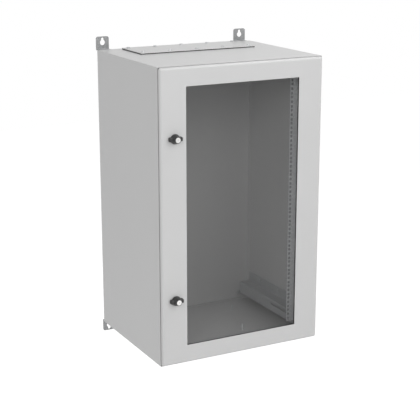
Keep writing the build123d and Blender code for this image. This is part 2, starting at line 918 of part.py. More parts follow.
def make_key_plug():
    # the bright disc with the keyway, and the stem behind it
    disc = Pos(0, 0, plug_seat()) * cylinder_up(plug_radius, plug_face_thickness)
    disc = chamfer(disc.edges().group_by(Axis.Z)[-1], plug_proud / 2)
    stem = Pos(0, 0, stem_foot()) * cylinder_up(plug_stem_radius, plug_stem_length + overlap)
    face = plug_seat() + plug_face_thickness
    keyway = Pos(0, 0, face - keyway_depth) * Rot(0, 0, 90) * SlotOverall(keyway_length, keyway_width)
    return disc + stem - extrude(keyway, 2 * keyway_depth)


def shaft_head():
    # the shaft stops short of the key plug's stem
    return stem_foot() - knob_rim


def cam_top():
    return door_front - cam_front


def make_lock_shaft():
    # round in the housing, square where the cam sits
    square_foot = cam_top() - cam_thickness + cam_fit
    round_foot = cam_top() + cam_fit
    shaft = Pos(0, 0, round_foot) * cylinder_up(shaft_radius, shaft_head() - round_foot)
    square = extrude(Pos(0, 0, square_foot) * Rectangle(shaft_square, shaft_square), cam_thickness)
    bore = Pos(0, 0, square_foot - overlap) * cylinder_up(
        cam_screw_radius + thread_clearance, cam_screw_length + 2 * overlap
    )
    return shaft + square - bore


def make_cam():
    # a rounded tongue, hanging down when the door is free to open
    cam_plane = Pos(0, -(cam_length - cam_width / 2) / 2, cam_top() - cam_thickness)
    tongue = Rot(0, 0, 90) * SlotOverall(cam_length + cam_width / 2, cam_width)
    cam = extrude(cam_plane * tongue, cam_thickness)
    hole = Rectangle(shaft_square + 2 * cam_fit, shaft_square + 2 * cam_fit)
    return cam - extrude(Pos(0, 0, cam_top() - cam_thickness) * hole, cam_thickness, both=True)


def make_cam_screw():
    # hexagon screw and washer in one piece
    back = cam_top() - cam_thickness
    washer = Pos(0, 0, back - cam_washer_thickness) * cylinder_up(cam_washer_radius, cam_washer_thickness)
    head_back = back - cam_washer_thickness - cam_screw_head
    head = extrude(Pos(0, 0, head_back) * hexagon(cam_screw_flats), cam_screw_head)
    shank = Pos(0, 0, back - overlap) * cylinder_up(cam_screw_radius, cam_screw_length + overlap)
    return washer + head + shank


# The whole cabinet, one entry for each node
nodes = {}
nodes["body_shell"] = make_body_shell()
nodes["front_frame"] = make_front_frame()
nodes["rear_panel"] = make_rear_panel()

plate_lift = body_top + entry_gasket
nodes["entry_gasket"] = Pos(0, 0, body_top) * make_entry_gasket()
nodes["entry_plate"] = Pos(0, 0, plate_lift) * make_entry_plate()
nodes["entry_screws"] = Pos(0, 0, plate_lift + entry_plate) * make_entry_screws()
nodes["entry_nuts"] = Pos(0, 0, body_top - sheet) * make_entry_nuts()

for x_side, side_name in ((-1, "left"), (1, "right")):
    for z_side, end_name in ((-1, "bottom"), (1, "top")):
        bracket = make_wall_bracket(x_side * bracket_x, z_side)
        nodes["wall_bracket_" + end_name + "_" + side_name] = bracket
        nodes["depth_profile_" + end_name + "_" + side_name] = make_depth_profile(x_side, z_side)
    nodes["mounting_rail_" + side_name] = make_mounting_rail(x_side)
nodes["wall_bracket_bolts"] = make_bracket_bolts()
nodes["wall_bracket_nuts"] = make_bracket_nuts()
nodes["depth_profile_studs"] = profile_fixings(make_profile_stud)
nodes["depth_profile_nuts"] = profile_fixings(make_profile_nut)
nodes["rail_screws"] = make_rail_screws()
nodes["rail_nuts"] = make_rail_nuts()
nodes["earth_studs"] = make_earth_studs()

for hinge_z, hinge_name in zip(hinge_heights(), ("lower", "upper")):
    nodes["hinge_frame_" + hinge_name] = make_hinge_frame(hinge_z)
    nodes["hinge_leaf_" + hinge_name] = make_hinge_leaf(hinge_z)
    nodes["hinge_pin_" + hinge_name] = make_hinge_pin(hinge_z)
nodes["hinge_screws"] = make_hinge_screws()

nodes["door_panel"] = make_door_panel()
nodes["window_glass"] = make_window_glass()
nodes["window_gasket"] = make_window_gasket()
nodes["window_retainer"] = make_window_retainer()
nodes["retainer_nuts"] = make_retainer_nuts()
nodes["door_seal"] = make_door_seal()

for lock_name, lock_z in lock_heights().items():
    lock_place = facing_front(lock_x, door_front, lock_z).location
    nodes["lock_housing_" + lock_name] = lock_place * make_lock_housing()
    nodes["lock_nut_" + lock_name] = lock_place * make_lock_nut()
    nodes["knob_" + lock_name] = lock_place * make_knob()
    nodes["key_plug_" + lock_name] = lock_place * make_key_plug()
    nodes["lock_shaft_" + lock_name] = lock_place * make_lock_shaft()
    nodes["cam_" + lock_name] = lock_place * make_cam()
    nodes["cam_screw_" + lock_name] = lock_place * make_cam_screw()

for node_name, node_shape in nodes.items():
    export_step(node_shape, "parts/" + node_name + ".step")
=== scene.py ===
import json
import math

import bmesh
import bpy
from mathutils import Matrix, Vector


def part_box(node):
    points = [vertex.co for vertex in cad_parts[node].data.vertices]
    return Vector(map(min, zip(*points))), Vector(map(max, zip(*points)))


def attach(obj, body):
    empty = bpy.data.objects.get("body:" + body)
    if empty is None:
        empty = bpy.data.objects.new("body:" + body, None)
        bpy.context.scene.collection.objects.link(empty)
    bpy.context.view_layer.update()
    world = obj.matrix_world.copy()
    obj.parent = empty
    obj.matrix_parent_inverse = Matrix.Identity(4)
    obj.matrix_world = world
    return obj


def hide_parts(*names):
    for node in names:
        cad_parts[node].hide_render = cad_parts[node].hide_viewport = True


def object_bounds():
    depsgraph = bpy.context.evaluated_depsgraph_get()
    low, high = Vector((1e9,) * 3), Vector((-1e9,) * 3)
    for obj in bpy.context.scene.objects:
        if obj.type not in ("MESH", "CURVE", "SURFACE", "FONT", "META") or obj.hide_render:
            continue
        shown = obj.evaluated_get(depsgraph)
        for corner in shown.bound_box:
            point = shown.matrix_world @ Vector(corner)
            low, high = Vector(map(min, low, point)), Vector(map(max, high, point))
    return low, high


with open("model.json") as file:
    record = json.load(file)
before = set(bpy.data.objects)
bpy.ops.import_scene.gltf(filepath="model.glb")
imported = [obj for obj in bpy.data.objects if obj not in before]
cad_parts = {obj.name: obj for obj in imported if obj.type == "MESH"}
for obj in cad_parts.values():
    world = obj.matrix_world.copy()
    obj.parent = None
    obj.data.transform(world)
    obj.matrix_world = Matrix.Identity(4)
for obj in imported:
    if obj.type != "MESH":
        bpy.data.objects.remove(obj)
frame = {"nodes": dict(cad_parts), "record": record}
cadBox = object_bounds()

mm = 0.001
weld = 0.002 * mm  # corners of a CAD mesh that lie closer than this are one
hair = 0.001 * mm  # nothing in the part is thinner
flat = math.radians(0.6)  # faces that turn less than this make one flat face
cadNodes = frame["nodes"]
ridesOn = {node: body for body, nodes in frame["record"]["behaviour"]["bodies"].items() for node in nodes}
slotOf = {part["node"]: part["material_slot"] for part in frame["record"]["subparts"]}


# Node trees

def pickSocket(sockets, key):
    # by place in the list, or the first one in use with that name
    if isinstance(key, int):
        return sockets[key]
    return next(socket for socket in sockets if socket.name == key and socket.enabled)


class Wire:
    # an output in a node tree; an expression on it adds Math nodes
    def __init__(self, writer, socket):
        self.writer = writer
        self.socket = socket

    def maths(self, operation, *others):
        return self.writer.maths(operation, self, *others)

    def __add__(self, other):
        return self.maths("ADD", other)

    def __radd__(self, other):
        return self.writer.maths("ADD", other, self)

    def __sub__(self, other):
        return self.maths("SUBTRACT", other)

    def __rsub__(self, other):
        return self.writer.maths("SUBTRACT", other, self)

    def __mul__(self, other):
        return self.maths("MULTIPLY", other)

    def __rmul__(self, other):
        return self.writer.maths("MULTIPLY", other, self)

    def __truediv__(self, other):
        return self.maths("DIVIDE", other)

    def __pow__(self, other):
        return self.maths("POWER", other)


class TreeWriter:
    # writes nodes into a shader or geometry tree
    def __init__(self, tree):
        self.tree = tree

    def node(self, kind, settings=None, sockets=None, output=0):
        made = self.tree.nodes.new(kind)
        for name, value in (settings or {}).items():
            if name == "choices":
                for extra in range(value - 2):  # an index switch starts with two
                    made.index_switch_items.new()
            else:
                setattr(made, name, value)
        for name, value in (sockets or {}).items():
            socket = pickSocket(made.inputs, name)
            if isinstance(value, Wire):
                self.tree.links.new(value.socket, socket)
            else:
                socket.default_value = value
        return Wire(self, pickSocket(made.outputs, output)) if made.outputs else None

    def maths(self, operation, *values):
        return self.node("ShaderNodeMath", {"operation": operation}, dict(enumerate(values)))

    def vector(self, x, y, z):
        return self.node("ShaderNodeCombineXYZ", {}, {"X": x, "Y": y, "Z": z})

    def along(self, axis, vector):
        return self.node("ShaderNodeSeparateXYZ", {}, {"Vector": vector}, axis)

    def noise(self, place, perMetre, detail):
        return self.node("ShaderNodeTexNoise", {}, {"Vector": place, "Scale": perMetre, "Detail": detail})

    def blend(self, share, low, high):
        sockets = {"Factor": share, "A": low, "B": high}
        return self.node("ShaderNodeMix", {"data_type": "RGBA"}, sockets, "Result")

    def bump(self, height, strength, depth):
        return self.node("ShaderNodeBump", {}, {"Strength": strength, "Distance": depth, "Height": height})


# Finishes: dark and light are a level and how far it leans to warm

def newFinish(name):
    # gives the material, its writer and the place on the piece
    material = bpy.data.materials.new(name)
    material.use_nodes = True
    material.node_tree.nodes.clear()
    w = TreeWriter(material.node_tree)
    return material, w, w.node("ShaderNodeTexCoord", output="Object")


def grey(level, warm=0.0):
    return (level * (1 + warm), level, level * (1 - warm), 1)


def toneOf(w, look, share):
    return w.blend(share, grey(*look["dark"]), grey(*look["light"]))


def swung(middle, *parts):
    # a value about its middle; each part is a texture from 0 to 1 and its whole reach
    total = middle - sum(reach for texture, reach in parts) / 2
    for texture, reach in parts:
        total = texture * reach + total
    return total


def coat(w, sockets):
    shader = w.node("ShaderNodeBsdfPrincipled", {}, sockets)
    w.node("ShaderNodeOutputMaterial", {}, {"Surface": shader})


paint = {
    "dark": (0.598, 0.0), "light": (0.622, 0.0), "clouds": 5.0,
    "peel": 2.4 * mm, "grain": 0.55 * mm, "peelShare": 0.7, "bump": (0.12, 0.15 * mm),
    "roughness": 0.36, "grainReach": 0.12, "cloudReach": 0.05,
}


def makePaint():
    # light grey powder coat: fine grain over a soft orange peel
    material, w, place = newFinish("lightGreyPowderCoat")
    peel = w.noise(place, 1 / paint["peel"], detail=1.0)
    grain = w.noise(place, 1 / paint["grain"], detail=2.0)
    cloud = w.noise(place, paint["clouds"], detail=3.0)
    height = peel * paint["peelShare"] + grain * (1 - paint["peelShare"])
    coat(w, {
        "Base Color": toneOf(w, paint, cloud),
        "Roughness": swung(paint["roughness"], (grain, paint["grainReach"]), (cloud, paint["cloudReach"])),
        "Normal": w.bump(height, *paint["bump"]),
    })
    return material


sheetZinc = {
    "spangleShare": 0.7, "bend": 2.0 * mm, "bends": 60.0, "specks": 900.0, "bump": (0.1, 0.1 * mm),
    # beyond this depth the rails' webs get a painted shade, for the shadow behind their front faces
    "spangleReach": 0.14, "speckReach": 0.06, "dullFrom": cadBox[0].y + 110.5 * mm,
}
railZinc = {
    # the last tone is a painted shade for the rails' webs behind their faces
    "dark": (0.792, -0.02), "light": (1.008, -0.01), "dull": (0.495, -0.02),
    "spangle": 5.0 * mm, "roughness": 0.45, "metallic": 0.10,
}
profileZinc = {
    "dark": (0.4576, -0.02), "light": (0.5824, -0.01), "dull": None,
    "spangle": 5.0 * mm, "roughness": 0.45, "metallic": 0.15,
}
bracketZinc = {
    "dark": (0.2464, -0.02), "light": (0.3136, -0.01), "dull": None,
    "spangle": 4.0 * mm, "roughness": 0.40, "metallic": 0.70,
}


def makeSheetZinc(name, look):
    # galvanised sheet with a faint spangle; where wanted, a painted shade darkens it behind the rails' faces
    material, w, place = newFinish(name)
    drift = w.node(
        "ShaderNodeTexNoise", {}, {"Vector": place, "Scale": sheetZinc["bends"], "Detail": 3.0}, "Color"
    )
    bend = (sheetZinc["bend"],) * 3
    bent = w.node("ShaderNodeVectorMath", {"operation": "MULTIPLY_ADD"}, {0: drift, 1: bend, 2: place})
    crystals = w.node("ShaderNodeTexVoronoi", {}, {"Vector": bent, "Scale": 1 / look["spangle"]}, "Color")
    spangle = w.node("ShaderNodeSeparateColor", {}, {"Color": crystals})
    specks = w.noise(place, sheetZinc["specks"], detail=2.0)
    share = sheetZinc["spangleShare"]
    tone = toneOf(w, look, spangle * share + specks * (1 - share))
    # painted shade: past that depth the tone turns darker, standing in for the shadow behind the rails' faces
    if look["dull"]:
        paintedShadeMask = w.along("Y", place).maths("GREATER_THAN", sheetZinc["dullFrom"])
        tone = w.blend(paintedShadeMask, tone, grey(*look["dull"]))
    reaches = (spangle, sheetZinc["spangleReach"]), (specks, sheetZinc["speckReach"])
    coat(w, {
        "Base Color": tone,
        "Metallic": look["metallic"],
        "Roughness": swung(look["roughness"], *reaches),
        "Normal": w.bump(spangle * 0.5 + specks * 0.5, *sheetZinc["bump"]),
    })
    return material


screwZinc = {
    "dark": (0.516, -0.03), "light": (0.66, 0.0), "clouds": 140.0, "grain": 0.8 * mm, "bump": (0.15, 0.05 * mm),
    "metallic": 0.55, "roughness": 0.325, "grainReach": 0.15, "cloudReach": 0.1,
}


def makeScrewZinc():
    # bright zinc plate on turned and pressed fasteners
    material, w, place = newFinish("zincPlatedSteel")
    grain = w.noise(place, 1 / screwZinc["grain"], detail=3.0)
    cloud = w.noise(place, screwZinc["clouds"], detail=2.0)
    reaches = (grain, screwZinc["grainReach"]), (cloud, screwZinc["cloudReach"])
    coat(w, {
        "Base Color": toneOf(w, screwZinc, cloud),
        "Metallic": screwZinc["metallic"],
        "Roughness": swung(screwZinc["roughness"], *reaches),
        "Normal": w.bump(grain, *screwZinc["bump"]),
    })
    return material


nickel = {
    "dark": (0.66, 0.01), "light": (0.76, 0.015), "specks": 900.0, "squeeze": 9.0, "bump": (0.1, 0.04 * mm),
    "metallic": 0.85, "roughness": 0.32, "grainReach": 0.16,
}


def makeNickel():
    # satin nickel on the key plugs and the hinge pins, its grain squeezed in height
    material, w, place = newFinish("satinNickel")
    squeezed = w.node("ShaderNodeMapping", {}, {"Vector": place, "Scale": (1.0, 1.0, nickel["squeeze"])})
    grain = w.noise(squeezed, nickel["specks"], detail=3.0)
    coat(w, {
        "Base Color": toneOf(w, nickel, grain),
        "Metallic": nickel["metallic"],
        "Roughness": swung(nickel["roughness"], (grain, nickel["grainReach"])),
        "Normal": w.bump(grain, *nickel["bump"]),
    })
    return material


blackPlastic = {
    "dark": (0.0176, 0.0), "light": (0.0286, 0.0), "clouds": 90.0, "grain": 0.5 * mm, "bump": (0.25, 0.06 * mm),
    "roughness": 0.425, "grainReach": 0.15,
}


def makeBlackPlastic():
    # glass-filled polyamide with a fine spark-eroded grain
    material, w, place = newFinish("blackPolyamide")
    grain = w.noise(place, 1 / blackPlastic["grain"], detail=2.0)
    cloud = w.noise(place, blackPlastic["clouds"], detail=2.0)
    coat(w, {
        "Base Color": toneOf(w, blackPlastic, cloud),
        "Roughness": swung(blackPlastic["roughness"], (grain, blackPlastic["grainReach"])),
        "Normal": w.bump(grain, *blackPlastic["bump"]),
    })
    return material


rubber = {
    "dark": (0.018, 0.0), "light": (0.032, 0.0), "clouds": 30.0, "specks": 1400.0, "bump": (0.3, 0.05 * mm),
    "roughness": 0.67, "grainReach": 0.1, "shine": 0.35,
}


def makeRubber():
    # black rubber of the flat gasket and the window edge
    material, w, place = newFinish("blackRubber")
    grain = w.noise(place, rubber["specks"], detail=2.0)
    cloud = w.noise(place, rubber["clouds"], detail=2.0)
    coat(w, {
        "Base Color": toneOf(w, rubber, cloud),
        "Roughness": swung(rubber["roughness"], (grain, rubber["grainReach"])),
        "Normal": w.bump(grain, *rubber["bump"]),
        "Specular IOR Level": rubber["shine"],
    })
    return material


foam = {
    "dark": (0.03, 0.0), "light": (0.07, 0.0), "clouds": 45.0, "cells": 1100.0, "cellShare": 0.6,
    "bump": (0.5, 0.12 * mm), "roughness": 0.85, "cloudReach": 0.1, "shine": 0.2,
}


def makeFoam():
    # poured foam: a matt skin with small cells
    material, w, place = newFinish("pouredFoam")
    cells = w.node("ShaderNodeTexVoronoi", {}, {"Vector": place, "Scale": foam["cells"]}, "Distance")
    cloud = w.noise(place, foam["clouds"], detail=3.0)
    coat(w, {
        "Base Color": toneOf(w, foam, cells * foam["cellShare"] + cloud * (1 - foam["cellShare"])),
        "Roughness": swung(foam["roughness"], (cloud, foam["cloudReach"])),
        "Normal": w.bump(cells, *foam["bump"]),
        "Specular IOR Level": foam["shine"],
    })
    return material


smokedGlass = {
    "dark": (0.045, 0.0), "light": (0.055, 0.0), "clouds": 3.0,
    "cover": 0.13, "coverReach": 0.02, "roughness": 0.04, "cloudReach": 0.02,
}


def makeSmokedGlass():
    # tinted pane; its cover darkens what lies behind it, once for each face
    material, w, place = newFinish("smokedGlass")
    cloud = w.noise(place, smokedGlass["clouds"], detail=2.0)
    coat(w, {
        "Base Color": toneOf(w, smokedGlass, cloud),
        "Roughness": swung(smokedGlass["roughness"], (cloud, smokedGlass["cloudReach"])),
        "Alpha": swung(smokedGlass["cover"], (cloud, smokedGlass["coverReach"])),
    })
    return material


finishOfSlot = {
    "cabinet_paint": makePaint(),
    "zinc_plate": makeScrewZinc(),
    "black_plastic": makeBlackPlastic(),
    "bright_metal": makeNickel(),
    "smoked_glass": makeSmokedGlass(),
    "rubber": makeRubber(),
    "foam": makeFoam(),
}
galvanisedRail = makeSheetZinc("galvanisedSheet", railZinc)
galvanisedProfile = makeSheetZinc("galvanisedProfile", profileZinc)
galvanisedPlate = makeSheetZinc("galvanisedPlate", bracketZinc)
finishOfSheet = {
    "mounting_rail": galvanisedRail,
    "depth_profile_top": galvanisedProfile,
    "depth_profile_bottom": galvanisedProfile,
    "wall_bracket_top": galvanisedPlate,
    "wall_bracket_bottom": galvanisedPlate,
}
print("finishes made")


def finishOf(nodeName):
    for start, finish in finishOfSheet.items():
        if nodeName.startswith(start):
            return finish
    return finishOfSlot[slotOf[nodeName]]


for nodeName, node in cadNodes.items():
    for materialSlot in node.material_slots:
        materialSlot.material = finishOf(nodeName)
print("finishes laid on", len(cadNodes), "pieces")


# Working on copies of the CAD pieces

def weldedForm(nodeName):
    form = bmesh.new()
    form.from_mesh(cadNodes[nodeName].data)
    bmesh.ops.remove_doubles(form, verts=form.verts, dist=weld)
    return form


def copyOf(nodeName, reshape=None):
    # the node's own form as a new mesh, its flat faces made whole
    form = weldedForm(nodeName)
    bmesh.ops.dissolve_limit(form, angle_limit=flat, verts=form.verts, edges=form.edges)
    if reshape:
        reshape(form)
    mesh = bpy.data.meshes.new(nodeName)
    form.to_mesh(mesh)
    form.free()
    return mesh


def smoothByAngle(mesh, angle):
    mesh.polygons.foreach_set("use_smooth", [True] * len(mesh.polygons))
    mesh.set_sharp_from_angle(angle=angle)
    mesh.update()


def applied(mesh, addModifiers):
    # runs modifiers on a mesh and gives back a plain mesh
    worker = bpy.data.objects.new("worker", mesh)
    bpy.context.scene.collection.objects.link(worker)
    addModifiers(worker)
    result = bpy.data.meshes.new_from_object(worker.evaluated_get(bpy.context.evaluated_depsgraph_get()))
    bpy.data.objects.remove(worker)
    return result


def settle(pieceName, mesh, nodeName):
    # a finished piece: it rides where its node rides and stands for it
    mesh.materials.clear()
    mesh.materials.append(finishOf(nodeName))
    piece = bpy.data.objects.new(pieceName, mesh)
    bpy.context.scene.collection.objects.link(piece)
    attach(piece, ridesOn[nodeName])
    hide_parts(nodeName)


def pieceNameOf(nodeName):
    words = nodeName.replace("mounting_", "").replace("depth_", "").split("_")
    return words[0] + "".join(word.capitalize() for word in words[1:])


# The door's corners are rounded in front view: a fan of cuts at each one, then its rings are drawn in

doorCorner = {"radius": 8.0 * mm, "foldRadius": 2.5 * mm, "cuts": 12}


def outlineReach(across, up):
    # distance from the corner's middle to the folded outline in this direction
    radius, fold = doorCorner["radius"], doorCorner["foldRadius"]
    straight = radius - fold
    length = math.hypot(across, up)
    if min(across, up) * radius <= straight * max(across, up):
        return radius * length / max(across, up)
    along = straight * (across + up) / length
    return along + math.sqrt(max(0.0, along**2 - 2 * straight**2 + fold**2))


def cut(form, faces, middle, facing):
    faces = list(faces)
    edges = dict.fromkeys(edge for face in faces for edge in face.edges)
    points = dict.fromkeys(point for face in faces for point in face.verts)
    bmesh.ops.bisect_plane(form, geom=[*faces, *edges, *points], dist=hair, plane_co=middle, plane_no=facing)


def roundCorner(form, middle, sideways, upwards):
    def place(point):
        return (point.x - middle.x) * sideways, (point.z - middle.z) * upwards

    for facing in ((0, 0, 1), (1, 0, 0)):
        cut(form, form.faces, middle, facing)
    for turn in range(1, doorCorner["cuts"]):
        angle = math.radians(90) * turn / doorCorner["cuts"]
        inCorner = [face for face in form.faces if min(place(face.calc_center_median())) > 0]
        cut(form, inCorner, middle, (-math.sin(angle) * sideways, 0, math.cos(angle) * upwards))
    for point in form.verts:
        across, up = place(point.co)
        if min(across, up) > hair:
            factor = doorCorner["radius"] / outlineReach(across, up)
            point.co.x = middle.x + across * factor * sideways
            point.co.z = middle.z + up * factor * upwards


def roundCorners(form):
    across = [point.co.x for point in form.verts]
    up = [point.co.z for point in form.verts]
    radius = doorCorner["radius"]
    for sideways, x in ((-1, min(across) + radius), (1, max(across) - radius)):
        for upwards, z in ((-1, min(up) + radius), (1, max(up) - radius)):
            roundCorner(form, Vector((x, 0, z)), sideways, upwards)


# Sheet metal, plates and turned pieces with broken edges

softening = {"width": 0.35 * mm, "steps": 2, "crease": math.radians(28), "smooth": math.radians(32)}
softened = [
    "body_shell", "front_frame", "door_panel", "entry_plate",
    "wall_bracket_top_left", "wall_bracket_top_right", "wall_bracket_bottom_left", "wall_bracket_bottom_right",
    "lock_housing_upper", "lock_housing_lower", "key_plug_upper", "key_plug_lower",
    "entry_gasket", "rear_panel", "mounting_rail_left", "mounting_rail_right",
    "depth_profile_top_left", "depth_profile_top_right",
    "depth_profile_bottom_left", "depth_profile_bottom_right",
    "window_retainer", "hinge_frame_upper", "hinge_frame_lower", "hinge_leaf_upper", "hinge_leaf_lower",
    "hinge_pin_upper", "hinge_pin_lower", "lock_nut_upper", "lock_nut_lower",
    "lock_shaft_upper", "lock_shaft_lower", "cam_upper", "cam_lower", "cam_screw_upper", "cam_screw_lower",
]
reshapes = {"door_panel": roundCorners}


def addBevel(worker):
    bevel = worker.modifiers.new("brokenEdges", "BEVEL")
    bevel.width = softening["width"]
    bevel.segments = softening["steps"]
    bevel.limit_method = "ANGLE"
    bevel.angle_limit = softening["crease"]
    bevel.use_clamp_overlap = True
    weighting = worker.modifiers.new("flatFaces", "WEIGHTED_NORMAL")
    weighting.weight = 100
    weighting.keep_sharp = True


for nodeName in softened:
    mesh = copyOf(nodeName, reshapes.get(nodeName))
    smoothByAngle(mesh, softening["smooth"])
    settle(pieceNameOf(nodeName), applied(mesh, addBevel), nodeName)
print("edges broken on", len(softened), "pieces")


# Moulded knobs

knob = {"voxel": 0.45 * mm, "rounding": 5, "strength": 0.5, "smooth": math.radians(60)}


def addMoulding(worker):
    remesh = worker.modifiers.new("grid", "REMESH")
    remesh.mode = "VOXEL"
    remesh.voxel_size = knob["voxel"]
    smooth = worker.modifiers.new("rounding", "SMOOTH")
    smooth.factor = knob["strength"]
    smooth.iterations = knob["rounding"]


for nodeName in ("knob_upper", "knob_lower"):
    mesh = applied(copyOf(nodeName), addMoulding)
    smoothByAngle(mesh, knob["smooth"])
    settle(pieceNameOf(nodeName), mesh, nodeName)
print("knobs moulded")


# Geometry trees

def newTree(name, sizes, others):
    # a tree with named inputs; gives its writer and a wire for each input
    tree = bpy.data.node_groups.new(name, "GeometryNodeTree")
    tree.interface.new_socket("Geometry", in_out="INPUT", socket_type="NodeSocketGeometry")
    tree.interface.new_socket("Geometry", in_out="OUTPUT", socket_type="NodeSocketGeometry")
    for label, kind in {**dict.fromkeys(sizes, "Float"), **others}.items():
        tree.interface.new_socket(label, in_out="INPUT", socket_type="NodeSocket" + kind)
    w = TreeWriter(tree)
    entry = tree.nodes.new("NodeGroupInput")
    return w, {socket.name: Wire(w, socket) for socket in entry.outputs if socket.name}


def finishTree(w, geometry, material):
    realized = w.node("GeometryNodeRealizeInstances", {}, {"Geometry": geometry})
    dressed = w.node("GeometryNodeSetMaterial", {}, {"Geometry": realized, "Material": material})
    w.node("NodeGroupOutput", {}, {"Geometry": dressed})
    return w.tree


def grown(tree, base, values):
    # the mesh that a tree makes from a base mesh
    def addTree(worker):
        modifier = worker.modifiers.new("tree", "NODES")
        modifier.node_group = tree
        for item in tree.interface.items_tree:
            if item.in_out == "INPUT" and item.name in values:
                modifier[item.identifier] = values[item.name]

    mesh = applied(base, addTree)
    form = bmesh.new()
    form.from_mesh(mesh)
    bmesh.ops.recalc_face_normals(form, faces=form.faces)
    form.to_mesh(mesh)
    form.free()
    return mesh


def pointsMesh(name, spots):
    # a loose point at each place, with the way that it faces
    mesh = bpy.data.meshes.new(name)
    mesh.from_pydata([place for place, facing in spots], [], [])
    facings = mesh.attributes.new("facing", "FLOAT_VECTOR", "POINT")
    facings.data.foreach_set("vector", [value for place, facing in spots for value in facing])
    return mesh


# Turned forms: a grid rolled up, with its rows running down and its columns running round

turning = {"sides": 36, "sixth": math.pi / 3, "chamfer": math.radians(30)}
hexFace = 0.475  # the round face inside a hexagon's chamfer, as a share of its flats
# A thread's depth is a share of its pitch, and its tip a share of its radius
thread = {"depth": 0.45, "tip": 0.8, "screwRows": 50, "studRows": 90, "shortRows": 40}


def rowAndAngle(w, rows):
    index = w.node("GeometryNodeInputIndex")
    column = ((index + 0.5) / rows).maths("FLOOR")
    return index - column * rows, column * (2 * math.pi / turning["sides"])


def rolled(w, rows, angle, radius, height):
    grid = w.node("GeometryNodeMeshGrid", {}, {"Vertices X": turning["sides"] + 1, "Vertices Y": rows}, "Mesh")
    place = w.vector(radius * angle.maths("COSINE"), radius * angle.maths("SINE"), height)
    shaped = w.node("GeometryNodeSetPosition", {}, {"Geometry": grid, "Position": place})
    return w.node("GeometryNodeMergeByDistance", {}, {"Geometry": shaped, "Distance": hair})


def circle(radius, height):
    return (radius, height, 0.0, 0.0)


def hexagon(height, drop=0.0):
    # its corners drop by the chamfer, up to once
    return (0.0, height, 1.0, drop)


def lathed(w, rows, flats):
    # circles and hexagons joined from top to bottom
    row, angle = rowAndAngle(w, len(rows))
    half = turning["sixth"] / 2
    sixth = (angle + half).maths("FLOORED_MODULO", turning["sixth"]) - half
    corner = flats * 0.5 / sixth.maths("COSINE")
    sizes = {str(i): w.vector(*values[:3]) for i, values in enumerate(rows)}
    drops = {str(i): values[3] for i, values in enumerate(rows)}
    choices = {"choices": len(rows)}
    size = w.node("GeometryNodeIndexSwitch", {"data_type": "VECTOR", **choices}, {"Index": row, **sizes})
    drop = w.node("GeometryNodeIndexSwitch", {"data_type": "FLOAT", **choices}, {"Index": row, **drops})
    radius, height, share = [w.along(axis, size) for axis in "XYZ"]
    radius = radius + share * (corner - radius)
    height = height - drop * (corner - flats * hexFace) * math.tan(turning["chamfer"])
    return rolled(w, len(rows), angle, radius, height)


def threaded(w, radius, length, pitch, rows):
    # a threaded shank from height 0 down, with a bevelled tip
    row, angle = rowAndAngle(w, rows)
    down = ((row - 1).maths("MAXIMUM", 0.0) / (rows - 3)).maths("MINIMUM", 1.0) * length
    wave = (down / pitch + angle / (2 * math.pi)).maths("PINGPONG", 0.5) * 2
    tip = (length - down) + radius * thread["tip"]
    worn = (radius - wave * pitch * thread["depth"]).maths("MINIMUM", tip)
    # the first and the last row close it
    body = row.maths("GREATER_THAN", 0.5) * row.maths("LESS_THAN", rows - 1.5)
    return rolled(w, rows, angle, worn * body, 0.0 - down)


def joined(w, *parts):
    joint = w.node("GeometryNodeJoinGeometry")
    for part in parts:
        w.tree.links.new(part.socket, joint.socket.node.inputs[0])
    return joint


def spread(w, wires, shape):
    # one copy on each point, up along its facing, each turned a little by chance
    facing = w.node(
        "GeometryNodeInputNamedAttribute", {"data_type": "FLOAT_VECTOR"}, {"Name": "facing"}, "Attribute"
    )
    upright = w.node("FunctionNodeAlignRotationToVector", {"axis": "Z"}, {"Vector": facing})
    copies = w.node(
        "GeometryNodeInstanceOnPoints", {},
        {"Points": wires["Geometry"], "Instance": shape, "Rotation": upright},
    )
    chance = w.node(
        "FunctionNodeRandomValue", {"data_type": "FLOAT"},
        {"Min": 0.0 - wires["Turn"], "Max": wires["Turn"], "Seed": wires["Seed"]},
        "Value",
    )
    twist = w.node("FunctionNodeAxisAngleToRotation", {}, {"Axis": (0, 0, 1), "Angle": chance})
    turned = w.node(
        "GeometryNodeRotateInstances", {}, {"Instances": copies, "Rotation": twist, "Local Space": True}
    )
    return finishTree(w, turned, wires["Finish"])


common = {"Turn": "Float", "Seed": "Int", "Finish": "Material"}

# Hexagon screw: shares of the flats and of the head's height
hexHead = {"dish": 0.36, "dishHeight": 0.9, "rim": 0.40, "washer": 0.47, "foot": 0.46, "washerHeight": 0.06}


def makeScrewTree():
    w, wires = newTree("hexScrew", ["Flats", "Head", "Radius", "Length", "Pitch"], common)
    flats, head = wires["Flats"], wires["Head"]
    dish = head * hexHead["dishHeight"]
    washer = head * hexHead["washerHeight"]
    rows = [
        circle(0.0, dish),
        circle(flats * hexHead["dish"], dish),
        circle(flats * hexHead["rim"], head),
        circle(flats * hexFace, head),
        hexagon(head, 1.0),
        hexagon(washer),
        circle(flats * hexHead["washer"], washer),
        circle(flats * hexHead["foot"], 0.0),
        circle(0.0, 0.0),
    ]
    shank = threaded(w, wires["Radius"], wires["Length"], wires["Pitch"], thread["screwRows"])
    return spread(w, wires, joined(w, lathed(w, rows, flats), shank))


# Hexagon nut: shares of the radius
bore = {"mouth": 1.14, "wall": 1.01, "mouthDepth": 0.12}


def nutRows(flats, height, radius):
    mouth, wall, depth = radius * bore["mouth"], radius * bore["wall"], radius * bore["mouthDepth"]
    return [
        circle(mouth, height),
        circle(flats * hexFace, height),
        hexagon(height, 1.0),
        hexagon(0.0, -1.0),
        circle(flats * hexFace, 0.0),
        circle(mouth, 0.0),
        circle(wall, depth),
        circle(wall, height - depth),
        circle(mouth, height),
    ]


def makeNutTree():
    w, wires = newTree("hexNut", ["Flats", "Height", "Radius"], common)
    rows = nutRows(wires["Flats"], wires["Height"], wires["Radius"])
    return spread(w, wires, lathed(w, rows, wires["Flats"]))


